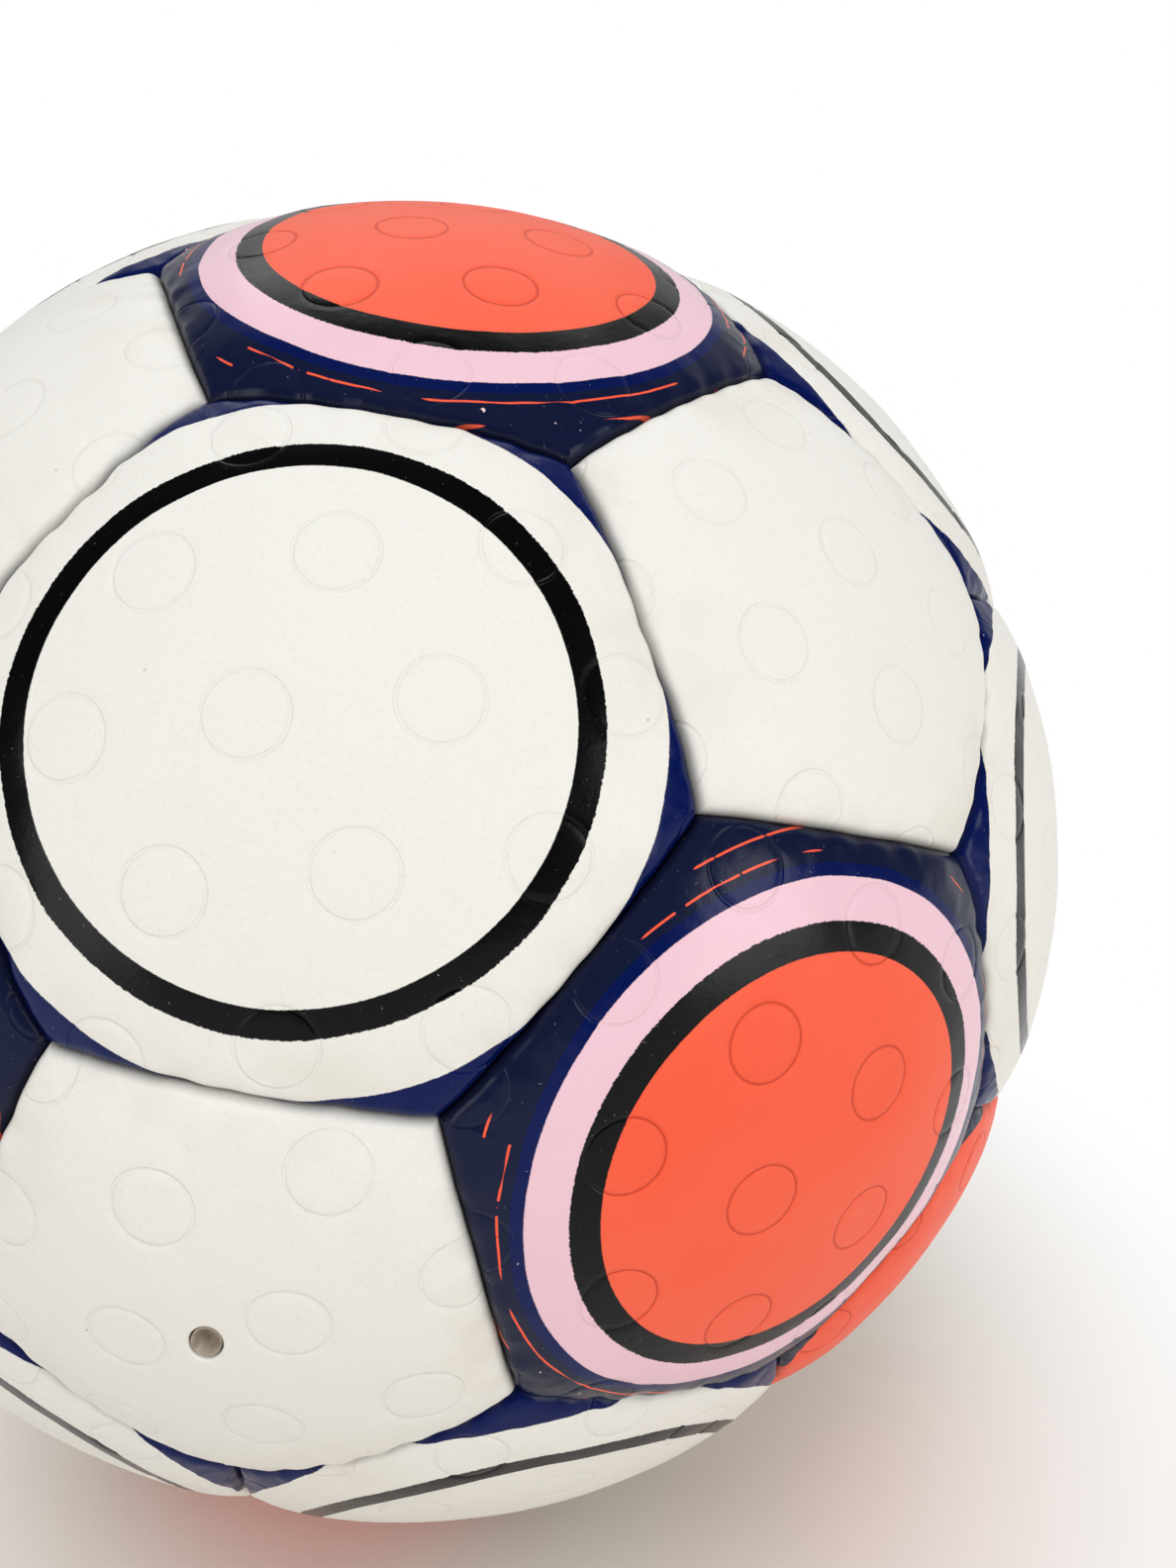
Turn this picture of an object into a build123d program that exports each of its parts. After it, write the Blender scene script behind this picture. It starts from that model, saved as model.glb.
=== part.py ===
from build123d import *

import os
from itertools import combinations
from math import cos, degrees, pi, radians, sqrt

# Hand-stitched handball, in millimetres and degrees.
# Twelve five-sided and twenty six-sided panels are sewn edge to edge with their edges turned inward.
# They enclose a bladder with a needle valve, which opens in the middle of a five-sided panel.
# The origin is the ball's centre and +Z is up. A corner where three panels meet points straight down,
# so the ball stands on the crowns of those three.

# Ball
circumference = 590.0
valve_azimuth = -98.0

# Cover panels: the crown rises this far above the panel's edge, which rolls into the seam
cover_thickness = 1.8
crown_rise = 1.0
fold_radius = 3.5
seam_allowance = 3.5
seam_gap = 0.1

# Backing glued in each panel
bond_gap = 0.05
backing_clearance = 0.1

# Sewing of each seam, with its line of stitches this far above the turned-in edge
stitch_count = 7
stitch_pitch = 5.0
stitch_height = 2.0
thread_width = 0.8
thread_clearance = 0.06

# Bladder
bladder_clearance = 0.25
bladder_wall = 1.0

# Valve housing, bonded to the inside of the bladder
housing_neck_radius = 4.5
housing_flange_radius = 11.0
housing_flange_thickness = 1.5
housing_rounding = 0.6
neck_clearance = 0.3

# Valve core, pressed into the housing from inside, and its port in the cover
port_radius = 1.8
port_rounding = 0.4
core_radius = 2.6
core_clearance = 0.02
core_recess = 0.7
core_head_radius = 1.6
cup_radius = 1.35
cup_depth = 0.8
needle_guide_radius = 1.0
needle_guide_length = 9.0
core_collar_radius = 3.8
core_collar_thickness = 1.2
core_tip_radius = 1.7
core_tip_length = 3.0
slit_width = 0.2
slit_length = 2.6

# Radii of the layers, from the ball's centre outward
ball_radius = circumference / (2 * pi)
edge_radius = ball_radius - crown_rise
tip_radius = edge_radius - fold_radius - seam_allowance
stitch_radius = tip_radius + stitch_height
bladder_radius = tip_radius - bladder_clearance
bladder_inner_radius = bladder_radius - bladder_wall
flange_outer_radius = bladder_inner_radius - bond_gap
flange_inner_radius = flange_outer_radius - housing_flange_thickness
neck_top = ball_radius - cover_thickness - neck_clearance

# Distances from a seam's plane, on either side of it
flange_face = seam_gap / 2
flange_back = flange_face + cover_thickness
thread_face = flange_back + thread_clearance
thread_back = thread_face + thread_width
backing_face = thread_back + backing_clearance
stitch_range = degrees(stitch_pitch / stitch_radius) * (stitch_count - 1)

# Spheres are turned so that neither their poles nor their seam lines lie in a panel
poles_aside = (90, 0, 0)
outward = (Align.CENTER, Align.CENTER, Align.MIN)

# The panel net is an icosahedron: five-sided panels on its corners, six-sided ones on its faces
golden = (1 + sqrt(5)) / 2
valve_corner = Vector(1, golden, 0)
front_face = Vector(1, 1, 1)
foot = Vector(0, 1, -golden) * 2 + Vector(-golden, 0, -1)
standing = Plane(origin=(0, 0, 0), x_dir=valve_corner, z_dir=-foot)


def posed(direction):
    """A direction of the panel net, turned to how the ball stands."""
    return standing.to_local_coords(direction).normalized().rotate(Axis.Z, valve_azimuth)


def middle(directions):
    """The direction between some others."""
    return sum(directions, Vector()).normalized()


def beside(one, other):
    """True for two neighbouring corners of the net."""
    return 0 < one.dot(other) < 0.9


def downward(direction):
    """Sorting key that counts panels from the top of the ball to its foot."""
    return (round(-direction.Z, 3), round(direction.Y, 3), round(direction.X, 3))


def lean(direction):
    """Angle from the line through the front panel and the one opposite it."""
    angle = front_axis.get_angle(direction)
    return min(angle, 180 - angle)


valve_axis = posed(valve_corner)
front_axis = posed(front_face)
corners = []
for one, other in [(a, b * golden) for a in (1, -1) for b in (1, -1)]:
    corners += [posed(Vector(*way)) for way in ((0, one, other), (one, other, 0), (other, 0, one))]
corners.sort(key=downward)
pairs = [pair for pair in combinations(corners, 2) if beside(*pair)]
faces = [three for three in combinations(corners, 3) if all(beside(*pair) for pair in combinations(three, 2))]
faces.sort(key=lambda three: downward(middle(three)))
hexagon_edge_angle = middle(faces[0]).get_angle(middle(faces[0][:2]))
pentagon_edge_angle = faces[0][0].get_angle(middle([*faces[0], faces[0][0] * 3]))


def seat(axis, toward):
    """Plane at the ball's centre that faces along an axis, with its X turned to a direction."""
    return Plane(origin=(0, 0, 0), x_dir=toward - axis * toward.dot(axis), z_dir=axis)


def pentagon_seat(corner):
    """Seat of a five-sided panel, with X through one of its corners."""
    return seat(corner, next(other for other in corners if beside(corner, other)))


def hexagon_seat(three):
    """Seat of a six-sided panel, with X through one of its corners."""
    return seat(middle(three), three[0] * 2 + three[1])


def seam_seat(start, end):
    """Plane of the seam between two panel corners, with X through the seam's middle."""
    return seat(start.cross(end).normalized(), start + end)


def side_planes(sides, edge_angle):
    """Planes of the sides of a panel that stands on Z, each with X through the side's middle."""
    steep = Vector(0, 0, 1).rotate(Axis.Y, edge_angle)
    flat = Vector(1, 0, 0).rotate(Axis.Y, edge_angle)
    turns = [(side + 1 / 2) * 360 / sides for side in range(sides)]
    return [seat(flat.rotate(Axis.Z, turn), steep.rotate(Axis.Z, turn)) for turn in turns]


def stitch_places():
    """Places of the stitches on a seam's plane."""
    return PolarLocations(stitch_radius, stitch_count, -stitch_range / 2, stitch_range, endpoint=True)


def crowned_block(sides, edge_angle, side_inset, top_inset, rounding):
    """Panel-shaped block: flat sides that aim at the ball's centre, a domed top and a rolled rim."""
    rise = ball_radius - edge_radius * cos(radians(edge_angle))
    dome_centre = (ball_radius**2 - edge_radius**2) / (2 * rise)
    with BuildPart() as block:
        with Locations((0, 0, dome_centre)):
            Sphere(ball_radius - dome_centre - top_inset, rotation=poles_aside)
        for side in side_planes(sides, edge_angle):
            split(bisect_by=side.offset(-side_inset), keep=Keep.BOTTOM)
        fillet(block.edges().filter_by(GeomType.CIRCLE), rounding)
    return block.part


def panel_cover(sides, edge_angle):
    """Cover of a panel: a domed skin, rolled at its rim into flat strips with awl holes for sewing."""
    outside = crowned_block(sides, edge_angle, flange_face, 0, fold_radius)
    inside = crowned_block(sides, edge_angle, flange_back, cover_thickness, fold_radius - cover_thickness)
    with BuildPart() as cover:
        add(outside)
        add(inside, mode=Mode.SUBTRACT)
        Sphere(tip_radius, rotation=poles_aside, mode=Mode.SUBTRACT)
        for side in side_planes(sides, edge_angle):
            with BuildSketch(side):
                with stitch_places():
                    Circle(thread_width / 2 + thread_clearance)
            extrude(amount=-thread_face, mode=Mode.SUBTRACT)
    return cover.part


def panel_backing(sides, edge_angle):
    """Foam and textile pad that fills a panel's dish, clear of the sewing along its sides."""
    pad = crowned_block(
        sides, edge_angle, backing_face, cover_thickness + bond_gap, fold_radius - cover_thickness
    )
    with BuildPart() as backing:
        add(pad)
        Sphere(tip_radius, rotation=poles_aside, mode=Mode.SUBTRACT)
    return backing.part


def write(name, master, seats):
    """Writes a node of like pieces, one on each seat."""
    with BuildPart() as node:
        with Locations(*seats):
            add(master)
    node.part.label = name
    export_step(node.part, f"parts/{name}.step")


os.makedirs("parts", exist_ok=True)

# Six-sided covers: orange where they share a seam with the front panel or with the one opposite it
hexagon_cover = panel_cover(6, hexagon_edge_angle)
orange_hexagons = [three for three in faces if 30 < lean(middle(three)) < 60]
white_hexagons = [three for three in faces if three not in orange_hexagons]
for number, three in enumerate(white_hexagons, 1):
    write(f"white_hexagon_{number:02d}", hexagon_cover, [hexagon_seat(three)])
for number, three in enumerate(orange_hexagons, 1):
    write(f"orange_hexagon_{number:02d}", hexagon_cover, [hexagon_seat(three)])

# Five-sided covers: orange where they touch neither of those two panels
pentagon_cover = panel_cover(5, pentagon_edge_angle)
valve_place = min(corners, key=valve_axis.get_angle)
plain_pentagons = [corner for corner in corners if corner is not valve_place]
orange_pentagons = [corner for corner in plain_pentagons if lean(corner) > 60]
white_pentagons = [corner for corner in plain_pentagons if lean(corner) < 60]
for number, corner in enumerate(white_pentagons, 1):
    write(f"white_pentagon_{number:02d}", pentagon_cover, [pentagon_seat(corner)])
for number, corner in enumerate(orange_pentagons, 1):
    write(f"orange_pentagon_{number:02d}", pentagon_cover, [pentagon_seat(corner)])

# Valve panel: a five-sided cover with a round port in its middle
valve_seat = pentagon_seat(valve_place)
with BuildPart() as valve_cover:
    add(pentagon_cover)
    Cylinder(port_radius, circumference, align=outward, mode=Mode.SUBTRACT)
    port_edges = valve_cover.faces().filter_by(GeomType.CYLINDER).edges().filter_by(GeomType.CIRCLE)
    fillet(port_edges.sort_by(Axis.Z)[-1], port_rounding)
write("valve_panel", valve_cover.part, [valve_seat])

# Backings: the one behind the valve panel lets the valve's neck through
hexagon_backing = panel_backing(6, hexagon_edge_angle)
pentagon_backing = panel_backing(5, pentagon_edge_angle)
write("hexagon_backings", hexagon_backing, [hexagon_seat(three) for three in faces])
with BuildPart() as pierced_backing:
    add(pentagon_backing)
    Cylinder(housing_neck_radius + neck_clearance, circumference, align=outward, mode=Mode.SUBTRACT)
with BuildPart() as pentagon_backings:
    with Locations(*[pentagon_seat(corner) for corner in plain_pentagons]):
        add(pentagon_backing)
    with Locations(valve_seat):
        add(pierced_backing.part)
pentagon_backings.part.label = "pentagon_backings"
export_step(pentagon_backings.part, "parts/pentagon_backings.step")

# Thread of one seam: two runs along the turned-in edges and a cross stitch through each pair of holes
with BuildPart() as seam_thread:
    for start in (thread_face, -thread_back):
        with BuildSketch(Plane.XY.offset(start)):
            SlotArc(CenterArc((0, 0), stitch_radius, -stitch_range / 2, stitch_range), thread_width)
        extrude(amount=thread_width)
    with BuildSketch():
        with stitch_places():
            Circle(thread_width / 2)
    extrude(amount=thread_face, both=True)
write("hexagon_seam_threads", seam_thread.part, [seam_seat(*pair) for pair in pairs])
short_seams = []
for three in faces:
    for corner in three:
        first, second = [corner * 2 + other for other in three if other is not corner]
        short_seams.append(seam_seat(first, second))
write("pentagon_seam_threads", seam_thread.part, short_seams)

# Bladder: a hollow ball inside the turned-in edges, with a hole for the valve's neck
with BuildPart() as bladder:
    Sphere(bladder_radius)
    Sphere(bladder_inner_radius, mode=Mode.SUBTRACT)
    with Locations(valve_seat):
        Cylinder(housing_neck_radius + bond_gap, circumference, align=outward, mode=Mode.SUBTRACT)
bladder.part.label = "bladder"
export_step(bladder.part, "parts/bladder.step")

# Valve housing: a round flange under the bladder's wall and a neck that reaches up to the cover
with BuildPart() as valve_housing:
    Sphere(flange_outer_radius, rotation=poles_aside)
    Sphere(flange_inner_radius, rotation=poles_aside, mode=Mode.SUBTRACT)
    Cylinder(housing_flange_radius, circumference, align=outward, mode=Mode.INTERSECT)
    with BuildSketch(Plane.XY.offset(flange_inner_radius)):
        Circle(housing_neck_radius)
    extrude(amount=neck_top - flange_inner_radius)
    fillet(valve_housing.edges().filter_by(GeomType.CIRCLE).sort_by(Axis.Z)[-1], housing_rounding)
    Cylinder(core_radius + core_clearance, circumference, align=outward, mode=Mode.SUBTRACT)
write("valve_housing", valve_housing.part, [valve_seat])

# Valve core: a turned plug with a cup, a needle guide, a locking collar and a tip that a slit closes
core_top = ball_radius - core_recess
guide_top = core_top - cup_depth
guide_bottom = guide_top - needle_guide_length
collar_top = sqrt(flange_inner_radius**2 - core_collar_radius**2) - bond_gap
collar_bottom = collar_top - core_collar_thickness
core_bottom = collar_bottom - core_tip_length
with BuildPart() as valve_core:
    with BuildSketch(Plane.XZ):
        with BuildLine():
            Polyline(
                (0, guide_bottom),
                (needle_guide_radius, guide_bottom),
                (needle_guide_radius, guide_top),
                (cup_radius, core_top),
                (core_head_radius, core_top),
                (core_head_radius, neck_top),
                (core_radius, neck_top),
                (core_radius, collar_top),
                (core_collar_radius, collar_top),
                (core_collar_radius, collar_bottom),
                (core_tip_radius, core_bottom),
                (0, core_bottom),
                close=True,
            )
        make_face()
    revolve(axis=Axis.Z)
    with BuildSketch(Plane.XY.offset(core_bottom)):
        Rectangle(slit_length, slit_width)
    extrude(amount=guide_bottom - core_bottom, mode=Mode.SUBTRACT)
write("valve_core", valve_core.part, [valve_seat])
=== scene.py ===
import math

import bpy
import numpy as np
from mathutils import Matrix, Vector


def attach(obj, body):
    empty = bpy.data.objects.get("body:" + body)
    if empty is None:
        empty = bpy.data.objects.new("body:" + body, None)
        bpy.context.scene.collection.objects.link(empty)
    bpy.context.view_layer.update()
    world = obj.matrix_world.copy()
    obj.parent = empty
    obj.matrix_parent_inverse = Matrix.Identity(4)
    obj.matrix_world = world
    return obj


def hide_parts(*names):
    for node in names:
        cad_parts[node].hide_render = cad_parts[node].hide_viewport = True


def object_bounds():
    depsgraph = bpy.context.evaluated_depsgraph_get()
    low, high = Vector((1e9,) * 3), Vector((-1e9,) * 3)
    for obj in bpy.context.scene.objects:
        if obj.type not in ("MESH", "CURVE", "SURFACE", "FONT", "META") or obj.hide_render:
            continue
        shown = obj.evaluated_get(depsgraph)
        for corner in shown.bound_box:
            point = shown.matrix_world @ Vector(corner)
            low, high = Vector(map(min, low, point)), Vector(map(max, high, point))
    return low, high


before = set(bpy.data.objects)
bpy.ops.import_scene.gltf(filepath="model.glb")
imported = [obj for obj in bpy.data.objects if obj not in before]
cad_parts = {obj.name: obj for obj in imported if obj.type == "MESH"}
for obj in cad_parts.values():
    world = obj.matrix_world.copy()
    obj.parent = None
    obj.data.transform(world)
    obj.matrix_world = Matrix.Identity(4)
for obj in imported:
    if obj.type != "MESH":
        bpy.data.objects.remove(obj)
solid_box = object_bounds()
bpy.context.scene.view_settings.view_transform = "Standard"

# Panel net. The cover is cut as twelve five-sided and twenty six-sided panels of soft coated leather,
# which meet as the faces of a truncated icosahedron do. The ball stands on a corner where three of
# them meet, with the valve panel turned to the front.
valve_azimuth = math.radians(-98)
golden = (1 + 5**0.5) / 2
net_step = 1.2  # two points of the net nearer than this are neighbours

net_points = []
for one in (-1, 1):
    for long in (-golden, golden):
        net_points += [Vector((0, one, long)), Vector((one, long, 0)), Vector((long, 0, one))]
net_foot = 2 * Vector((0, 1, -golden)) + Vector((-golden, 0, -1))
net_up = -net_foot.normalized()
net_valve = Vector((1, golden, 0))
net_side = (net_valve - net_up * net_valve.dot(net_up)).normalized()
standing = Matrix.Rotation(valve_azimuth, 3, "Z") @ Matrix((net_side, net_up.cross(net_side), net_up))
net_points = [(standing @ point).normalized() for point in net_points]


def neighbours(point):
    return [other for other in net_points if 0 < (other - point).length < net_step]


# Each panel's place is its middle direction, then the direction of its first corner.
panel_places = {5: [], 6: []}
for first in net_points:
    panel_places[5].append((first, 2 * first + neighbours(first)[0]))
    for second in neighbours(first):
        for third in neighbours(second):
            order = [net_points.index(point) for point in (first, second, third)]
            if third in neighbours(first) and order == sorted(order):
                panel_places[6].append(((first + second + third).normalized(), 2 * first + second))

# The direction in which each solid panel lies.
cover_words = ("hexagon_0", "hexagon_1", "pentagon_0", "valve_panel")
cover_directions = {}
for name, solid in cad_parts.items():
    if any(word in name for word in cover_words):
        places = np.empty(len(solid.data.vertices) * 3)
        solid.data.vertices.foreach_get("co", places)
        cover_directions[name] = Vector(places.reshape(-1, 3).mean(0)).normalized()


def panel_node(middle):
    """The name of the solid panel that lies in this direction."""
    return max(cover_directions, key=lambda name: cover_directions[name].dot(middle))


# Cover panels, as a rule for their shape. Each is a sheet 1.8 mm thick that the air inside crowns into a
# low pillow. Its edges roll over and turn in, and a thread pulls them down every 5 mm, so the seam runs
# in small scallops with wrinkles beside it. A pattern of rings is pressed into the sheet before cutting.
mm = 0.001
ball_radius = 93.9 * mm
cover_thickness = 1.8 * mm
crown_rise = 1.0 * mm
fold_radius = 1.3 * mm
edge_roll = 0.8 * mm
edge_roll_width = 9.0 * mm
seam_allowance = 3.5 * mm
seam_gap = 0.1 * mm
panel_rows = 84

# What sewing and use do to the sheet. A reach is where a form starts and where it is full, as distances
# from the seam. A scale is how many swells of a noise lie in a metre.
stitch_pitch = 5.0 * mm
stitch_pull = 0.36 * mm
stitch_reach = (3.4 * mm, 0.2 * mm)
loosest_stitch = 0.2  # share of the pull
corner_tuck = 0.5 * mm
tuck_reach = (7 * mm, 0.0)
tuck_start = 0.78  # share of the way from a side's middle to its corner
wrinkle_depth = 0.26 * mm
wrinkle_reach = (10 * mm, 1 * mm)
wrinkle_scale_along, wrinkle_scale_across = 420.0, 150.0
wrinkle_side_step = 3.7  # keeps the wrinkles of two sides from being alike
unevenness = 0.5 * mm
lump_reach = (1 * mm, 8 * mm)
lump_scale, small_lump_scale = 42.0, 130.0
small_lump_share = 0.3
seam_wander = 0.6 * mm
wander_reach = (14 * mm, 5 * mm)
wander_scale = 95.0

# The pressed rings, and the port in the valve panel.
ring_pitch = 17.0 * mm
ring_radius = 4.0 * mm
ring_groove = 0.55 * mm
ring_depth = 0.11 * mm
ring_reach = (1.5 * mm, 4 * mm)
port_rows = 12
port_radius = 1.8 * mm
port_rounding = 0.25 * mm
port_rim_steps = 5
port_wide, port_tall = 0.84, 1.18  # the cut edge has drawn into an oval
port_lean = Vector((0.38, 0, 0.92))  # the way that the oval is long


class Wire:
    """A node's socket that can stand in a sum. An expression on wires adds its nodes to the tree."""

    def __init__(self, tree, socket=None):
        self.tree, self.socket = tree, socket

    def node(self, kind, feeds=None, out=0, **settings):
        """Adds a node, sets it up, feeds its sockets, and gives the outputs asked for."""
        made = self.tree.nodes.new(kind)
        for setting, value in settings.items():
            setattr(made, setting, value)
        for key, value in (feeds or {}).items():
            if isinstance(value, Wire):
                value.feed(made.inputs[key])
            else:
                made.inputs[key].default_value = value
        if isinstance(out, tuple):
            return [Wire(self.tree, made.outputs[key]) for key in out]
        return Wire(self.tree, made.outputs[out])

    def feed(self, socket):
        self.tree.links.new(self.socket, socket)

    def sum(self, operation, *values):
        return self.node("ShaderNodeMath", dict(enumerate(values)), operation=operation)

    def __add__(self, other):
        return self.sum("ADD", self, other)

    def __sub__(self, other):
        return self.sum("SUBTRACT", self, other)

    def __rsub__(self, other):
        return self.sum("SUBTRACT", other, self)

    def __mul__(self, other):
        return self.sum("MULTIPLY", self, other)

    def __truediv__(self, other):
        return self.sum("DIVIDE", self, other)

    def __rtruediv__(self, other):
        return self.sum("DIVIDE", other, self)

    __radd__, __rmul__ = __add__, __mul__

    def step(self, low, high):
        """0 below low, 1 above high, and smooth between. Low may be the larger."""
        return self.node("ShaderNodeMapRange", {0: self, 1: low, 2: high}, interpolation_type="SMOOTHSTEP")

    def split(self):
        return self.node("ShaderNodeSeparateXYZ", {0: self}, out=(0, 1, 2))

    def vector(self, x, y, z):
        return self.node("ShaderNodeCombineXYZ", {0: x, 1: y, 2: z})

    def noise(self, place, scale, detail, out=0):
        return self.node("ShaderNodeTexNoise", {"Vector": place, "Scale": scale, "Detail": detail}, out)

    def mix(self, share, first, second):
        """A colour between two colours."""
        return self.node("ShaderNodeMix", {0: share, 6: first, 7: second}, out=2, data_type="RGBA")


def ring_distance(across, along, pitch):
    """How far a spot of the pressed sheet is from the middle of its nearest ring. Rows stand staggered."""
    row_pitch = pitch * (math.sqrt(3) / 2)
    row = across.sum("ROUND", along / row_pitch)
    shift = across.sum("FLOORED_MODULO", row, 2.0) * 0.5
    column = across.sum("ROUND", across / pitch - shift)
    aside = across - (column + shift) * pitch
    ahead = along - row * row_pitch
    return across.sum("SQRT", aside * aside + ahead * ahead)


def pillow_tree():
    """Shapes a flat grid with a half width of 1 into one panel of the ball, in its place."""
    tree = bpy.data.node_groups.new("Sewn pillow panel", "GeometryNodeTree")
    tree.interface.new_socket("Geometry", in_out="OUTPUT", socket_type="NodeSocketGeometry")
    tree.interface.new_socket("Geometry", in_out="INPUT", socket_type="NodeSocketGeometry")
    for name in (
        "Sides", "Edge Angle", "Half Width", "Dome Centre", "Dome Radius", "Thickness", "Fold Radius",
        "Edge Roll", "Edge Roll Width", "Flange Depth", "Seam Gap", "Stitch Pitch", "Stitch Pull",
        "Corner Tuck", "Wrinkle Depth", "Unevenness", "Seam Wander", "Ring Pitch", "Ring Radius",
        "Ring Groove", "Ring Depth", "Sheet Turn", "Seed",
    ):
        tree.interface.new_socket(name, in_out="INPUT", socket_type="NodeSocketFloat")
    for name in ("Across Seat", "Along Seat", "Out Seat", "Sheet Shift"):
        tree.interface.new_socket(name, in_out="INPUT", socket_type="NodeSocketVector")
    tree.interface.new_socket("Finish", in_out="INPUT", socket_type="NodeSocketMaterial")
    given = tree.nodes.new("NodeGroupInput").outputs
    size = {socket.name: Wire(tree, socket) for socket in given if socket.name}
    wire = Wire(tree)
    tau = math.tau
    not_zero = 1e-6  # least number to divide by

    # Where the grid point lies: its side, its place across and beside that side's middle line.
    flat = wire.node("GeometryNodeInputPosition")
    x, y, _ = flat.split()
    drop = wire.node("GeometryNodeInputNamedAttribute", {"Name": "drop"}, data_type="FLOAT")
    under = wire.node("GeometryNodeInputNamedAttribute", {"Name": "under"}, data_type="FLOAT")
    skin = 1 - under
    side_turn = tau / size["Sides"]
    heading = wire.sum("ARCTAN2", y, x)
    side = wire.sum("FLOOR", heading / side_turn)
    aside = heading - (side + 0.5) * side_turn
    across = wire.sum("SQRT", x * x + y * y) * wire.sum("COSINE", aside)
    beside = wire.sum("TANGENT", aside)

    # The profile from the flange's tip, up the wall, round the fold and over the crown.
    quarter = size["Fold Radius"] * (tau / 4)
    run = (1 - across) * (size["Flange Depth"] + quarter + size["Half Width"] - size["Fold Radius"])
    turned = wire.sum("MAXIMUM", run - size["Flange Depth"], 0.0) / size["Fold Radius"]
    turned = wire.sum("MINIMUM", turned, tau / 4)
    crown_run = wire.sum("MAXIMUM", run - size["Flange Depth"] - quarter, 0.0)
    inset = size["Seam Gap"] * 0.5 + size["Fold Radius"] * (1 - wire.sum("COSINE", turned)) + crown_run
    sink = size["Fold Radius"] * (1 - wire.sum("SINE", turned))
    sink = sink + wire.sum("MAXIMUM", size["Flange Depth"] - run, 0.0)
    inner_inset = size["Thickness"] + (1 - across) * (size["Half Width"] - size["Thickness"])
    inset = inset * skin + inner_inset * under
    rolled = wire.sum("MAXIMUM", 1 - inset / size["Edge Roll Width"], 0.0)
    sink = sink + size["Edge Roll"] * rolled * rolled
    sink = sink * skin + size["Thickness"] * under

    # The direction of that point from the ball's middle, and the crown's height there.
    slope = wire.sum("TANGENT", (1 - inset / size["Half Width"]) * size["Edge Angle"])
    stretch = slope / wire.sum("MAXIMUM", across, not_zero)
    pointed = wire.vector(x * stretch, y * stretch, 1.0)
    pointed = wire.node("ShaderNodeVectorMath", {0: pointed}, operation="NORMALIZE")
    right, ahead, out = pointed.split()
    foot = size["Dome Centre"] * size["Dome Centre"] * (1 - out * out)
    crown = size["Dome Centre"] * out + wire.sum("SQRT", size["Dome Radius"] * size["Dome Radius"] - foot)
    lean = wire.sum("ARCCOSINE", wire.sum("MINIMUM", out, 1.0))
    spread = lean / wire.sum("MAXIMUM", wire.sum("SINE", lean), not_zero) * ball_radius
    print_x, print_y = right * spread, ahead * spread
    along = beside * slope * wire.sum("COSINE", size["Edge Angle"]) * ball_radius

    # What the thread does to the edge: a pull at each stitch, a tuck at the corners, wrinkles between.
    stitch = wire.sum("ROUND", along / size["Stitch Pitch"])
    held = wire.node("ShaderNodeTexWhiteNoise", {0: wire.vector(stitch, side, size["Seed"])})
    swing = wire.sum("COSINE", along / size["Stitch Pitch"] * tau) * 0.5 + 0.5
    pull = swing * (held * (1 - loosest_stitch) + loosest_stitch)
    pull = pull * inset.step(*stitch_reach) * size["Stitch Pull"]
    corner = wire.sum("ABSOLUTE", beside) / wire.sum("TANGENT", side_turn * 0.5)
    tuck = corner.step(tuck_start, 1.0) * inset.step(*tuck_reach) * size["Corner Tuck"]
    wrinkle_side = side * wrinkle_side_step + size["Seed"]
    wrinkle_place = wire.vector(along * wrinkle_scale_along, inset * wrinkle_scale_across, wrinkle_side)
    wrinkle = wire.noise(wrinkle_place, 1.0, detail=1.5) - 0.5
    wrinkle = wrinkle * inset.step(*wrinkle_reach) * size["Wrinkle Depth"]

    # The rings pressed into the sheet.
    turn_cos, turn_sin = wire.sum("COSINE", size["Sheet Turn"]), wire.sum("SINE", size["Sheet Turn"])
    shift_x, shift_y, _ = size["Sheet Shift"].split()
    sheet_x = print_x * turn_cos - print_y * turn_sin + shift_x
    sheet_y = print_x * turn_sin + print_y * turn_cos + shift_y
    off_middle = ring_distance(sheet_x, sheet_y, size["Ring Pitch"])
    off_ring = wire.sum("ABSOLUTE", off_middle - size["Ring Radius"])
    groove = off_ring.step(size["Ring Groove"], 0.0) * size["Ring Depth"] * inset.step(*ring_reach)

    # The point's place on the ball, with what wanders over the whole cover.
    def seated(height):
        parts = []
        for seat, share in (("Across Seat", right), ("Along Seat", ahead), ("Out Seat", out)):
            feeds = {0: size[seat], 3: share * height}
            parts.append(wire.node("ShaderNodeVectorMath", feeds, operation="SCALE"))
        flat_part = wire.node("ShaderNodeVectorMath", {0: parts[0], 1: parts[1]}, operation="ADD")
        return wire.node("ShaderNodeVectorMath", {0: flat_part, 1: parts[2]}, operation="ADD")

    rest = seated(crown)
    lumps = wire.noise(rest, lump_scale, detail=1.0) - 0.5
    lumps = lumps + (wire.noise(rest, small_lump_scale, detail=1.0) - 0.5) * small_lump_share
    uneven = lumps * size["Unevenness"] * inset.step(*lump_reach)
    height = crown - sink - drop - (pull + tuck + groove - wrinkle - uneven) * skin
    place = seated(height)
    wander = wire.noise(rest, wander_scale, detail=1.0, out=1)
    wander = wire.node("ShaderNodeVectorMath", {0: wander, 1: (0.5, 0.5, 0.5)}, operation="SUBTRACT")
    feeds = {0: wander, 3: size["Seam Wander"] * skin * inset.step(*wander_reach)}
    wander = wire.node("ShaderNodeVectorMath", feeds, operation="SCALE")
    place = wire.node("ShaderNodeVectorMath", {0: place, 1: wander}, operation="ADD")

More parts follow.
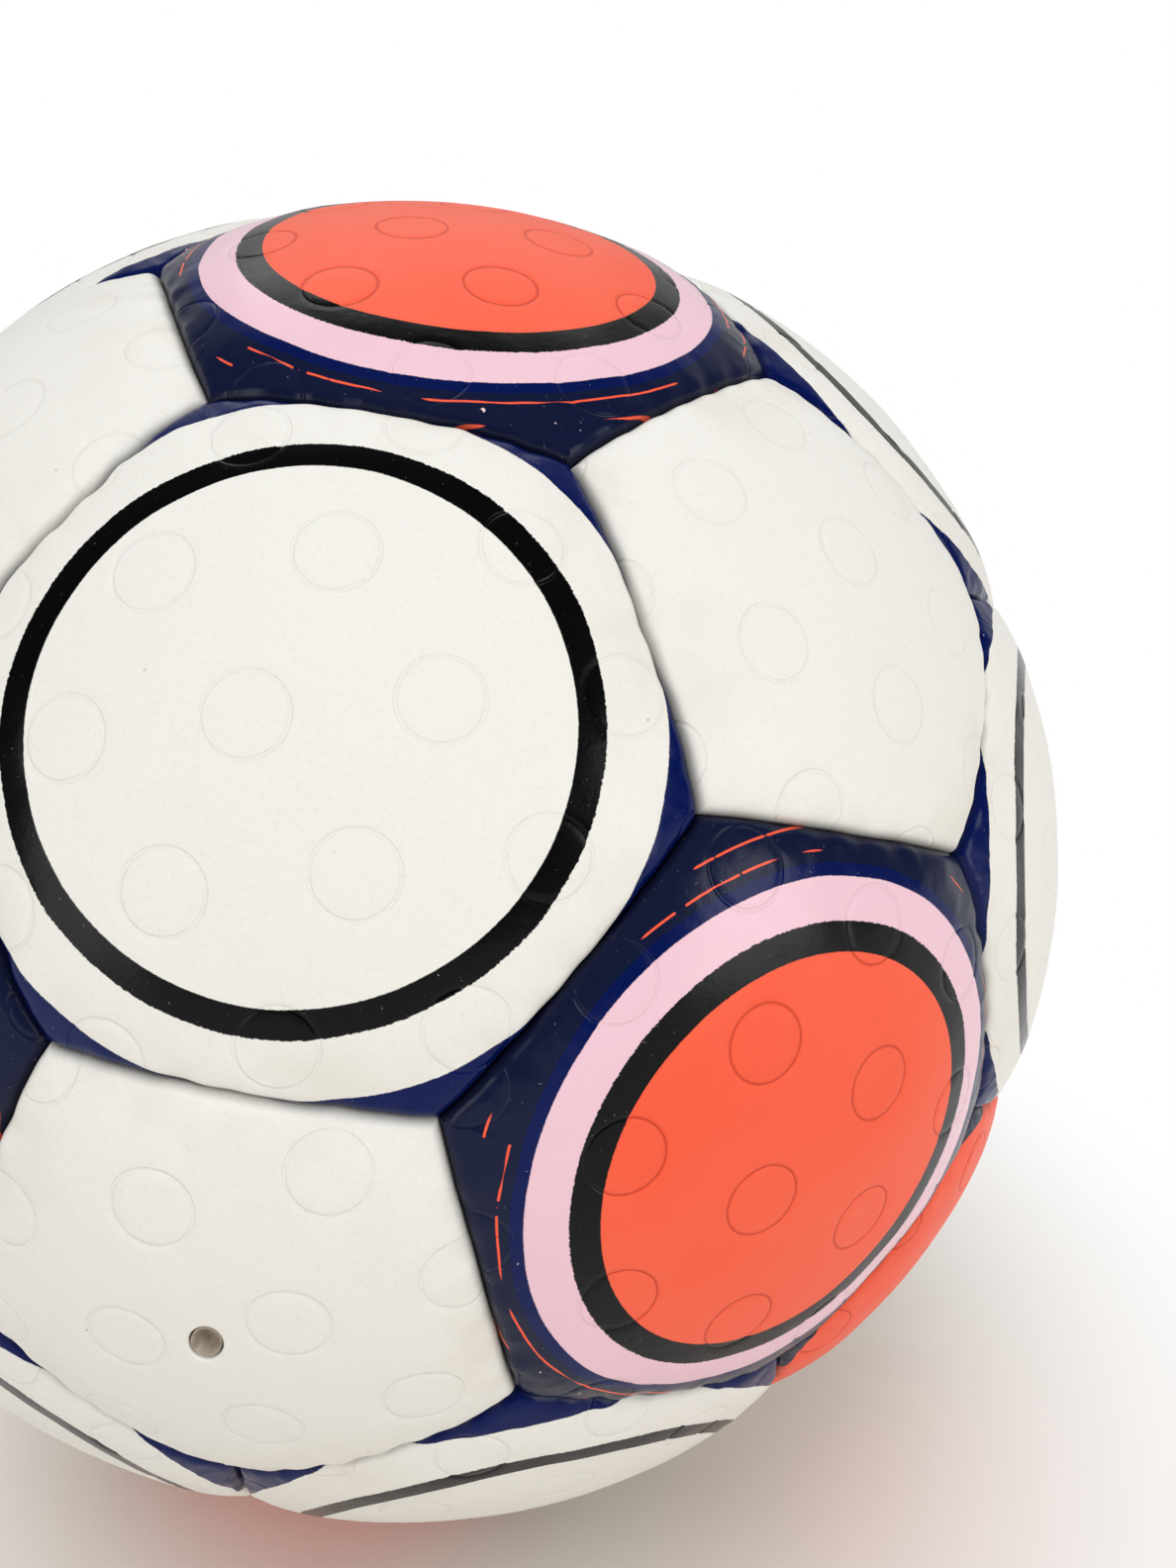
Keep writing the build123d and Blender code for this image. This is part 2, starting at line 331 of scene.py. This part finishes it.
    # What the print and the pressed rings are drawn by, then the shape itself.
    shape = size["Geometry"]
    stored = {"panel": wire.vector(print_x, print_y, inset), "sheet": wire.vector(sheet_x, sheet_y, 0.0)}
    per_point = {"data_type": "FLOAT_VECTOR", "domain": "POINT"}
    for name, value in stored.items():
        feeds = {"Geometry": shape, "Name": name, "Value": value}
        shape = wire.node("GeometryNodeStoreNamedAttribute", feeds, **per_point)
    shape = wire.node("GeometryNodeSetPosition", {"Geometry": shape, "Position": place})
    shape = wire.node("GeometryNodeRealizeInstances", {0: shape})
    shape = wire.node("GeometryNodeSetMaterial", {"Geometry": shape, "Material": size["Finish"]})
    shape.feed(tree.nodes.new("NodeGroupOutput").inputs[0])
    return tree


def panel_grid(sides, half_width, port_up):
    """Rings of points from the middle, or the port, to the edge of a flat panel, then its underside."""
    headings = [side * math.tau / sides for side in range(sides)]
    corners = [np.array((math.cos(heading), math.sin(heading))) for heading in headings]
    corners = [corner / math.cos(math.pi / sides) for corner in corners]
    points, drops, unders, faces = [], [], [], []

    def add_point(point, drop, under):
        points.append(point)
        drops.append(drop)
        unders.append(under)

    def ring(count, width, drop=0.0, under=0.0, roundness=0.0):
        """count points on each side, at this share of the half width."""
        start = len(points)
        for side in range(sides):
            for step in range(count):
                near, far = corners[side], corners[(side + 1) % sides]
                point = width * (near + (far - near) * step / count)
                heading = (side + step / count) * math.tau / sides
                circle = width * np.array((math.cos(heading), math.sin(heading)))
                if port_up is not None:
                    upwards = circle.dot(port_up) * port_up
                    circle = port_tall * upwards + port_wide * (circle - upwards)
                add_point(point + (circle - point) * roundness, drop, under)
        return range(start, len(points))

    def strip(inner, outer):
        """Closes the band between two rings, which have as many points, or one more on each side."""
        inner_count, outer_count = len(inner) // sides, len(outer) // sides
        for side in range(sides):
            for step in range(outer_count):
                inner_near = inner[(side * inner_count + step) % len(inner)]
                inner_far = inner[(side * inner_count + step + 1) % len(inner)]
                outer_near = outer[side * outer_count + step]
                outer_far = outer[(side * outer_count + step + 1) % len(outer)]
                if inner_count == outer_count:
                    faces.append((inner_near, outer_near, outer_far, inner_far))
                    continue
                faces.append((inner_near, outer_near, outer_far))
                if step < inner_count:
                    faces.append((inner_near, outer_far, inner_far))

    port = port_up is not None
    first_row, blend_rows = 1, 0
    last = None
    if not port:
        add_point(np.zeros(2), 0.0, 0.0)
    else:
        # The port's wall, from its foot up to the rounded rim.
        first_row, blend_rows = port_rows + 1, 2 * port_rows
        port_foot = ring(port_rows, port_radius / half_width, drop=cover_thickness, roundness=1.0)
        last = port_foot
        for step in range(port_rim_steps + 1):
            turn = math.tau / 4 * step / port_rim_steps
            width = port_radius + port_rounding * (1 - math.cos(turn))
            sunk = port_rounding * (1 - math.sin(turn))
            this = ring(port_rows, width / half_width, drop=sunk, roundness=1.0)
            strip(last, this)
            last = this
    port_share = (port_radius + port_rounding) / half_width
    for row in range(first_row, panel_rows + 1):
        width, roundness = row / panel_rows, 0.0
        if row < blend_rows:
            share = (row - port_rows) / (blend_rows - port_rows)
            width = port_share + (blend_rows / panel_rows - port_share) * share
            roundness = 1 - share * share
        this = ring(row, width, roundness=roundness)
        if last is None:
            for side in range(sides):
                faces.append((0, this[side], this[(side + 1) % sides]))
        else:
            strip(last, this)
        last = this

    # The underside: the flange's tip, its inner wall, and the hollow that the backing fills. Each row has
    # its share of the half width, and how far it drops below the sheet's inside.
    flange_tip = (1.0, fold_radius + edge_roll + seam_allowance - cover_thickness)
    flange_wall, inner_bend = (1.0, 2.0 * mm), (0.985, 0.6 * mm)
    hollow_edge, hollow_middle = (0.95, 0.0), (0.5, 0.0)
    for width, drop in (flange_tip, flange_wall, inner_bend, hollow_edge, hollow_middle):
        this = ring(panel_rows, width, drop=drop, under=1.0)
        strip(last, this)
        last = this
    if not port:
        add_point(np.zeros(2), 0.0, 1.0)
        for spot in range(len(last)):
            faces.append((last[spot], len(points) - 1, last[(spot + 1) % len(last)]))
    else:
        share = panel_rows // port_rows
        for spot in range(len(port_foot)):
            near, far = port_foot[spot], port_foot[(spot + 1) % len(port_foot)]
            for step in range(spot * share, (spot + 1) * share):
                foot = near if step < spot * share + share // 2 else far
                faces.append((last[step], foot, last[(step + 1) % len(last)]))
            faces.append((last[spot * share + share // 2], near, far))
    grid = bpy.data.meshes.new("flat panel grid")
    grid.from_pydata([(*point, 0.0) for point in points], [], faces)
    grid.attributes.new("drop", "FLOAT", "POINT").data.foreach_set("value", drops)
    grid.attributes.new("under", "FLOAT", "POINT").data.foreach_set("value", unders)
    return grid


panel_shape = pillow_tree()
panel_sockets = [socket for socket in panel_shape.interface.items_tree if socket.in_out == "INPUT"]
panel_inputs = {socket.name: socket.identifier for socket in panel_sockets}
panel_grids = {}


def placed(name, data):
    """A new object in the scene."""
    made = bpy.data.objects.new(name, data)
    bpy.context.scene.collection.objects.link(made)
    return made


def sewn_panel(node, sides, middle, first_corner, seed, finish):
    """One panel of the cover, shaped, seated and standing for its solid."""
    corner_angle = middle.angle(first_corner)
    edge_angle = math.atan(math.tan(corner_angle) * math.cos(math.pi / sides))
    half_width = ball_radius * edge_angle
    edge_radius = ball_radius - crown_rise
    edge_height = edge_radius * math.cos(edge_angle)
    dome_centre = (ball_radius**2 - edge_radius**2) / (2 * (ball_radius - edge_height))
    port = node == "valve_panel"
    across_seat = (first_corner - middle * middle.dot(first_corner)).normalized()
    along_seat = middle.cross(across_seat)
    if (sides, port) not in panel_grids:
        port_up = np.array((across_seat.dot(port_lean), along_seat.dot(port_lean)))
        port_up = port_up / np.linalg.norm(port_up)
        panel_grids[sides, port] = panel_grid(sides, half_width, port_up if port else None)
    draw = np.random.default_rng(seed)
    values = {
        "Sides": float(sides),
        "Edge Angle": edge_angle,
        "Half Width": half_width,
        "Dome Centre": dome_centre,
        "Dome Radius": ball_radius - dome_centre,
        "Thickness": cover_thickness,
        "Fold Radius": fold_radius,
        "Edge Roll": edge_roll,
        "Edge Roll Width": edge_roll_width,
        "Flange Depth": seam_allowance,
        "Seam Gap": seam_gap,
        "Stitch Pitch": stitch_pitch,
        "Stitch Pull": stitch_pull,
        "Corner Tuck": corner_tuck,
        "Wrinkle Depth": wrinkle_depth,
        "Unevenness": unevenness,
        "Seam Wander": seam_wander,
        "Ring Pitch": ring_pitch,
        "Ring Radius": ring_radius,
        "Ring Groove": ring_groove,
        "Ring Depth": ring_depth,
        "Sheet Turn": float(draw.uniform(0, math.tau)),
        "Seed": float(seed),
        "Across Seat": tuple(across_seat),
        "Along Seat": tuple(along_seat),
        "Out Seat": tuple(middle),
        "Sheet Shift": tuple(float(shift) for shift in draw.uniform(0, ring_pitch, 3)),
        "Finish": finish,
    }
    blank = placed("blank", panel_grids[sides, port])
    rule = blank.modifiers.new("shape", "NODES")
    rule.node_group = panel_shape
    for name, value in values.items():
        rule[panel_inputs[name]] = value
    graph = bpy.context.evaluated_depsgraph_get()
    mesh = bpy.data.meshes.new_from_object(blank.evaluated_get(graph), depsgraph=graph)
    bpy.data.objects.remove(blank)
    for name in ("drop", "under"):
        mesh.attributes.remove(mesh.attributes[name])
    mesh.shade_smooth()
    mesh.name = node + "_cover"
    piece = placed(node + "_cover", mesh)
    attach(piece, "root")
    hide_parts(node)


# Finish of the cover. The leather has a soft satin coat with a fine grain, a few specks, and faint stains
# along the seams, and shade is painted into the seams' creases. Colour is screen printed on it before
# cutting, in rings round the panel's middle, and the ink's edge breaks up on the grain.
def paint(red, green, blue):
    """A colour written as on a screen, from 0 to 255, as the linear colour that a socket takes."""
    shares = [channel / 255 for channel in (red, green, blue)]
    return (*[s / 12.92 if s <= 0.04045 else ((s + 0.055) / 1.055) ** 2.4 for s in shares], 1.0)


leather_white = paint(243, 242, 237)
stain_beige = paint(214, 196, 170)
stain_rust = paint(214, 82, 56)
ink_orange = paint(255, 98, 68)
faded_orange = paint(255, 134, 106)
ink_navy = paint(17, 25, 56)
ink_royal = paint(2, 20, 82)
ink_black = paint(8, 8, 9)
ink_pink = paint(245, 206, 220)
speck_grey = paint(120, 108, 96)
chip_pale = paint(236, 214, 214)
pinhole_grey = paint(170, 165, 170)
crack_red = paint(188, 40, 22)
# The colour of the painted shade in the seams' creases.
painted_crease_shade = paint(26, 24, 26)

# The print: the blur of an ink's edge, how it frays, and how its thin lines wave and break.
edge_blur = 0.06  # millimetres, as the bands are
fray_depth, fray_scale = 0.32 * mm, 3000.0
neat_fray = 0.35  # share of the fray where the band inside isn't black
sweep_scale, dash_scale = 2.2, 13.0  # swells in a radian
sweep_gaps, dash_gaps = (0.54, 0.46), (0.36, 0.30)  # noise values where a gap starts and is full
gap_push = 0.3 * mm  # distance added in a gap, which leaves nothing of the line
wave_depth, wave_scale = 0.5 * mm, 90.0
line_blur = 0.25  # share of the line's half width

# Wear: a noise's scale, the values at which its spots start and are full, and how much colour they show.
stain_scale, stain_spots, stain_share = 70.0, (0.45, 0.75), 0.22
stain_reach = (13 * mm, 1 * mm)
fade_scale, fade_spots, fade_share = 40.0, (0.36, 0.66), 0.2
fine_scale, fine_spots, fine_share = 2600.0, (0.52, 0.70), 0.10
speck_scale, speck_picks, speck_share = 250.0, (0.70, 0.72), 0.4
speck_radius = (0.055, 0.02)  # share of a cell
chip_scale, chip_spots = 620.0, (0.755, 0.77)
chip_reach = (6 * mm, 2 * mm)
pinhole_scale, pinhole_spots, pinhole_share = 3300.0, (0.76, 0.82), 0.5
crack_width = (0.17 * mm, 0.05 * mm)
# Painted shade in the seams' creases: where it starts and where it is full, from the seam, and how dark it
# is.
painted_shade_reach, painted_shade_share = (0.9 * mm, 0.1 * mm), 0.3

# The coat: its roughness, and the relief of its grain and of the pressed rings.
satin_scale, satin_swing, satin_least = 160.0, 0.16, 0.36
ink_gloss = 0.2
relief_depth = 0.25 * mm
fine_relief = 0.05
pebble_scale, pebble_relief = 700.0, 0.10
groove_width, groove_relief = (0.30 * mm, 0.05 * mm), 0.3
coat_specular = 0.15


def new_finish(name):
    """A material, its shader, and a wire to build its nodes with."""
    finish = bpy.data.materials.new(name)
    finish.use_nodes = True
    return finish, finish.node_tree.nodes["Principled BSDF"], Wire(finish.node_tree)


def cover_finish(name, field, bands, pinstripes=(), crack_share=0.0):
    """Coated leather with printed bands, each from a radius outwards, in millimetres."""
    finish, leather, wire = new_finish(name)
    surface = wire.node("ShaderNodeTexCoord", out="Object")
    print_x, print_y, inset = wire.node("ShaderNodeAttribute", attribute_name="panel", out="Vector").split()
    sheet_x, sheet_y, _ = wire.node("ShaderNodeAttribute", attribute_name="sheet", out="Vector").split()
    off_ring = wire.sum("ABSOLUTE", ring_distance(sheet_x, sheet_y, ring_pitch) - ring_radius)

    fray = (wire.noise(surface, fray_scale, detail=1.0) - 0.5) * fray_depth
    clean = wire.sum("SQRT", print_x * print_x + print_y * print_y)
    colour, inked, before = field, None, field
    for start, ink in bands:
        reach = clean + (fray if before is ink_black else fray * neat_fray)
        edge = reach.step((start - edge_blur) * mm, (start + edge_blur) * mm)
        colour, before = wire.mix(edge, colour, ink), ink
        if inked is None:
            inked = edge
        else:
            inked = inked * (1 - edge) if ink is leather_white else wire.sum("MAXIMUM", inked, edge)
    heading = wire.sum("ARCTAN2", print_y, print_x)
    for radius, half_width, ink in pinstripes:
        sweep = wire.noise(wire.vector(heading * sweep_scale, radius, 0.0), 1.0, detail=1.0)
        dash = wire.noise(wire.vector(heading * dash_scale, radius, 1.0), 1.0, detail=1.0)
        wave = (wire.noise(surface, wave_scale, detail=1.0) - 0.5) * wave_depth
        gap = sweep.step(*sweep_gaps) + dash.step(*dash_gaps)
        line = wire.sum("ABSOLUTE", clean + wave - radius * mm) + gap * gap_push
        line = line.step(half_width * (1 + line_blur) * mm, half_width * (1 - line_blur) * mm)
        colour = wire.mix(line, colour, ink)

    # Stains by the seams, specks anywhere, and chips where the ink is bent over the fold.
    bare = 1.0 if inked is None else 1 - inked
    soil = stain_beige if field is leather_white else stain_rust
    stain = wire.noise(surface, stain_scale, detail=3.0).step(*stain_spots)
    stain = stain * inset.step(*stain_reach) * stain_share
    colour = wire.mix(stain * bare, colour, soil)
    if field is ink_orange:
        faded = wire.noise(surface, fade_scale, detail=2.0).step(*fade_spots) * bare * fade_share
        colour = wire.mix(faded, colour, faded_orange)
    fine = wire.noise(surface, fine_scale, detail=2.0)
    colour = wire.mix(fine.step(*fine_spots) * bare * fine_share, colour, soil)
    cell = wire.node("ShaderNodeTexVoronoi", {"Vector": surface, "Scale": speck_scale}, out=(0, 1))
    pick = cell[1].split()[0].step(*speck_picks)
    speck = cell[0].step(*speck_radius) * pick * bare * speck_share
    colour = wire.mix(speck, colour, speck_grey)
    if inked is not None:
        chip = wire.noise(surface, chip_scale, detail=2.0).step(*chip_spots)
        chip = chip * inset.step(*chip_reach) * inked
        colour = wire.mix(chip, colour, chip_pale)
        pinhole = wire.noise(surface, pinhole_scale, detail=1.0).step(*pinhole_spots)
        colour = wire.mix(pinhole * inked * pinhole_share, colour, pinhole_grey)
    if crack_share:
        colour = wire.mix(off_ring.step(*crack_width) * bare * crack_share, colour, crack_red)
    # Painted shade: the colour darkens in the crease beside the seam, where shade falls.
    painted_shade = inset.step(*painted_shade_reach) * painted_shade_share
    colour = wire.mix(painted_shade, colour, painted_crease_shade)
    colour.feed(leather.inputs["Base Color"])

    satin = wire.noise(surface, satin_scale, detail=3.0) * satin_swing + satin_least
    if inked is not None:
        satin = satin - inked * ink_gloss
    satin.feed(leather.inputs["Roughness"])

    grain = fine * fine_relief + wire.noise(surface, pebble_scale, detail=3.0) * pebble_relief
    relief = grain - off_ring.step(*groove_width) * groove_relief
    bump = wire.node("ShaderNodeBump", {"Height": relief, "Distance": relief_depth, "Strength": 1.0})
    bump.feed(leather.inputs["Normal"])
    leather.inputs["Specular IOR Level"].default_value = coat_specular
    return finish


# Six-sided panels. Twenty are cut from the printed leather and sewn to a neighbour on each side. The white
# ones carry one black ring and blue corners. The orange ones are an orange disc in a black, a pink and a
# blue ring, and the rest is navy with thin swept lines.
white_bands = [(25.2, ink_black), (28.0, leather_white), (34.3, ink_royal)]
orange_bands = [(22.6, ink_black), (25.7, ink_pink), (30.0, ink_royal), (31.3, ink_navy)]
swept_lines = [(32.4, 0.12, ink_orange), (34.8, 0.12, ink_orange)]  # radius and half width in millimetres
white_six = cover_finish("white printed leather", leather_white, white_bands)
orange_six = cover_finish("orange printed leather", ink_orange, orange_bands, swept_lines, crack_share=0.6)


def sew_on(sides, white_finish, orange_finish, first_seed):
    """Every panel with this many sides, in its own colour."""
    for number, (middle, corner) in enumerate(panel_places[sides]):
        node = panel_node(middle)
        orange = node.startswith("orange")
        finish = orange_finish if orange else white_finish
        sewn_panel(node, sides, middle, corner, first_seed + number, finish)


sew_on(6, white_six, orange_six, first_seed=100)

# Five-sided panels. Twelve are cut from plain white leather or from orange with navy at its corners, and
# sewn between the six-sided ones. One of the white ones has a port cut in its middle for the pump needle.
navy_corners = [(29.5, ink_navy)]
white_five = cover_finish("plain white leather", leather_white, [])
orange_five = cover_finish("plain orange leather", ink_orange, navy_corners, crack_share=0.6)
sew_on(5, white_five, orange_five, first_seed=200)

# Valve core. It is a plug moulded from soft grey rubber and pressed into the valve's housing. A collar
# locks it from inside, and its head stands in the port with a shallow dish that closes over the needle's
# way. Half of its outline is given as radius and distance from the ball's middle, in millimetres.
core_dish = [(0.0, 91.9), (0.10, 91.92), (0.22, 92.0), (0.5, 92.06), (0.8, 92.25), (1.1, 92.68)]
core_rim = [(1.3, 93.14), (1.42, 93.52), (1.5, 93.64), (1.58, 93.66), (1.63, 93.6)]
core_body = [(1.63, 91.85), (2.6, 91.75), (2.6, 82.45)]
core_collar = [(3.8, 82.40), (3.8, 81.25), (3.6, 81.1)]
core_tip = [(1.7, 78.1), (1.4, 77.95), (0.0, 77.9)]
core_segments = 64
head_foot = 91.8
head_wide, head_tall = 0.92, 1.30  # the head fills the oval port
rubber_light, rubber_dark = paint(178, 165, 148), paint(154, 141, 125)
rubber_scale, rubber_spots = 900.0, (0.35, 0.65)

valve_middle = next(middle for middle, _ in panel_places[5] if panel_node(middle) == "valve_panel")
valve_up = (port_lean - valve_middle * valve_middle.dot(port_lean)).normalized()
valve_side = valve_up.cross(valve_middle)
core_points, core_faces, last_ring = [], [], []
for radius, height in core_dish + core_rim + core_body + core_collar + core_tip:
    ring = []
    for segment in range(core_segments if radius else 1):
        side = radius * math.cos(segment * math.tau / core_segments)
        up = radius * math.sin(segment * math.tau / core_segments)
        if height > head_foot:
            side, up = side * head_wide, up * head_tall
        ring.append(len(core_points))
        core_points.append((valve_side * side + valve_up * up + valve_middle * height) * mm)
    if last_ring:
        for segment in range(core_segments):
            after = (segment + 1) % core_segments
            quad = [last_ring[segment % len(last_ring)], ring[segment % len(ring)]]
            quad += [ring[after % len(ring)], last_ring[after % len(last_ring)]]
            core_faces.append(tuple(dict.fromkeys(quad)))
    last_ring = ring
core_mesh = bpy.data.meshes.new("valve_core_rubber")
core_mesh.from_pydata(core_points, [], core_faces)
core_mesh.shade_smooth()
core_finish, rubber, wire = new_finish("soft grey rubber")
mottle = wire.noise(wire.node("ShaderNodeTexCoord", out="Object"), rubber_scale, detail=2.0)
wire.mix(mottle.step(*rubber_spots), rubber_light, rubber_dark).feed(rubber.inputs["Base Color"])
rubber.inputs["Roughness"].default_value = 0.38
core_mesh.materials.append(core_finish)
core = placed("valve_core_rubber", core_mesh)
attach(core, "root")
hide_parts("valve_core")


# Inner pieces. Foam and textile backings are glued in the panels, a waxed thread sews the flanges, and a
# rubber bladder carries the valve's housing. They keep their solid shapes, and the cover hides them.
def plain_finish(name, colour, tint, roughness, grain_scale, grain_depth):
    """One stuff with a fine grain, clouded by a tint."""
    finish, stuff, wire = new_finish(name)
    cloud_scale, cloud_spots, cloud_share = grain_scale * 0.15, (0.35, 0.7), 0.6
    surface = wire.node("ShaderNodeTexCoord", out="Object")
    cloud = wire.noise(surface, cloud_scale, detail=3.0).step(*cloud_spots)
    wire.mix(cloud * cloud_share, colour, tint).feed(stuff.inputs["Base Color"])
    grain = wire.noise(surface, grain_scale, detail=2.0)
    wire.node("ShaderNodeBump", {"Height": grain, "Distance": grain_depth}).feed(stuff.inputs["Normal"])
    stuff.inputs["Roughness"].default_value = roughness
    return finish


foam = plain_finish(
    "foam backing", paint(226, 222, 210), paint(206, 200, 186),
    roughness=0.9, grain_scale=900.0, grain_depth=0.2 * mm,
)
thread = plain_finish(
    "waxed thread", paint(232, 228, 216), paint(205, 196, 176),
    roughness=0.6, grain_scale=1500.0, grain_depth=0.1 * mm,
)
bladder_rubber = plain_finish(
    "bladder rubber", paint(40, 38, 36), paint(58, 54, 50),
    roughness=0.55, grain_scale=400.0, grain_depth=0.1 * mm,
)
housing_rubber = plain_finish(
    "housing rubber", paint(52, 48, 45), paint(70, 64, 58),
    roughness=0.5, grain_scale=800.0, grain_depth=0.05 * mm,
)
inner_finishes = {
    "hexagon_backings": foam,
    "pentagon_backings": foam,
    "hexagon_seam_threads": thread,
    "pentagon_seam_threads": thread,
    "bladder": bladder_rubber,
    "valve_housing": housing_rubber,
}
for name, finish in inner_finishes.items():
    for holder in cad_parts[name].material_slots:
        holder.material = finish

# Floor and light. A white floor keeps the ball's shadow and runs out into a white room. Soft lamps hang
# above and behind the ball, a low one lights its back, and narrow ones stand at the right and the left.
floor_level = solid_box[0][2]
floor_half = 4.0
floor_white = (0.81, 0.77, 0.71, 1.0)
shadow_reach = (0.05, 0.155)  # where the room's white starts and is full, from the ball's foot
room_white, room_glow, room_dusk = 1.0, 0.40, 0.04
glow_colour = (1, 0.99, 0.97, 1)
back_wall, back_share = (0.0, 0.9), 0.6  # where gloss shows the white wall behind, and how much of it


def room_rays(wire):
    """1 for a ray from the camera, then 1 for a ray that shows the room, by gloss and glass too."""
    kinds = ("Is Camera Ray", "Is Glossy Ray", "Is Transmission Ray")
    camera_ray, gloss, glass = wire.node("ShaderNodeLightPath", out=kinds)
    return camera_ray, wire.sum("MINIMUM", camera_ray + gloss + glass, 1.0)


floor_mesh = bpy.data.meshes.new("floor")
floor_corners = [(x * floor_half, y * floor_half) for x, y in ((-1, -1), (1, -1), (1, 1), (-1, 1))]
floor_mesh.from_pydata([(*corner, floor_level) for corner in floor_corners], [], [(0, 1, 2, 3)])
floor = placed("floor", floor_mesh)
floor_finish, paper, wire = new_finish("white floor")
paper.inputs["Base Color"].default_value = floor_white
paper.inputs["Roughness"].default_value = 0.9
paper.inputs["Specular IOR Level"].default_value = 0.0
ground_x, ground_y, _ = wire.node("ShaderNodeTexCoord", out="Object").split()
far_off = wire.sum("SQRT", ground_x * ground_x + ground_y * ground_y).step(*shadow_reach)
_, seen = room_rays(wire)
room = wire.node("ShaderNodeEmission", {"Color": (1, 1, 1, 1), "Strength": room_white})
ground = Wire(wire.tree, paper.outputs[0])
blend = wire.node("ShaderNodeMixShader", {0: far_off * seen, 1: ground, 2: room})
blend.feed(wire.tree.nodes["Material Output"].inputs["Surface"])
floor_mesh.materials.append(floor_finish)

world = bpy.data.worlds.new("white room")
bpy.context.scene.world = world
world.use_nodes = True
wire = Wire(world.node_tree)
camera_ray, seen = room_rays(wire)
heading = wire.node("ShaderNodeTexCoord", out="Generated").split()[1]
behind = wire.sum("MAXIMUM", heading.step(*back_wall) * back_share, camera_ray)
glow = wire.node("ShaderNodeBackground", {"Color": glow_colour, "Strength": room_glow})
white = wire.node("ShaderNodeBackground", {"Color": (1, 1, 1, 1), "Strength": room_white})
dusk = wire.node("ShaderNodeBackground", {"Color": (1, 1, 1, 1), "Strength": room_dusk})
mirrored = wire.node("ShaderNodeMixShader", {0: behind, 1: dusk, 2: white})
blend = wire.node("ShaderNodeMixShader", {0: seen, 1: glow, 2: mirrored})
blend.feed(wire.tree.nodes["World Output"].inputs["Surface"])

# Each lamp's place, width and height in metres, its power in watts, and whether gloss shows it.
for name, place, width, height, power, shows in (
    ("soft lamp above", (-0.05, -0.5, 1.0), 0.8, 0.8, 4.4, False),
    ("soft lamp behind", (0.0, 0.55, 0.95), 0.8, 0.5, 1.6, True),
    ("soft lamp at the right", (0.72, -0.52, 0.17), 0.32, 0.5, 2.2, True),
    ("soft lamp at the left", (-0.66, -0.62, 0.20), 0.32, 0.5, 1.5, True),
    ("soft lamp at the back", (0.1, 0.95, 0.25), 0.8, 0.5, 2.2, False),
):
    lamp = bpy.data.lights.new(name, "AREA")
    lamp.shape = "RECTANGLE"
    lamp.size, lamp.size_y = width, height
    lamp.energy = power
    holder = placed(name, lamp)
    holder.location = place
    holder.rotation_euler = Vector(place).to_track_quat("Z", "Y").to_euler()
    holder.visible_glossy = shows

# Camera. It stands close in front and looks down a little, so the ball fills most of the picture and
# reaches past its left edge.
camera_tilt = math.radians(17.34)
camera_roll = math.radians(-2.43)
ball_from_camera = Vector((-25.0, -9.6, -200.5)) * mm
camera_turn = Matrix.Rotation(math.pi / 2 - camera_tilt, 4, "X") @ Matrix.Rotation(camera_roll, 4, "Z")
camera_data = bpy.data.cameras.new("camera")
camera_data.sensor_fit = "VERTICAL"
camera_data.sensor_height = 36.0
camera_data.lens = 28.745
camera_data.clip_start = 0.005
camera = placed("camera", camera_data)
camera.matrix_world = Matrix.Translation(-(camera_turn.to_3x3() @ ball_from_camera)) @ camera_turn
bpy.context.scene.camera = camera
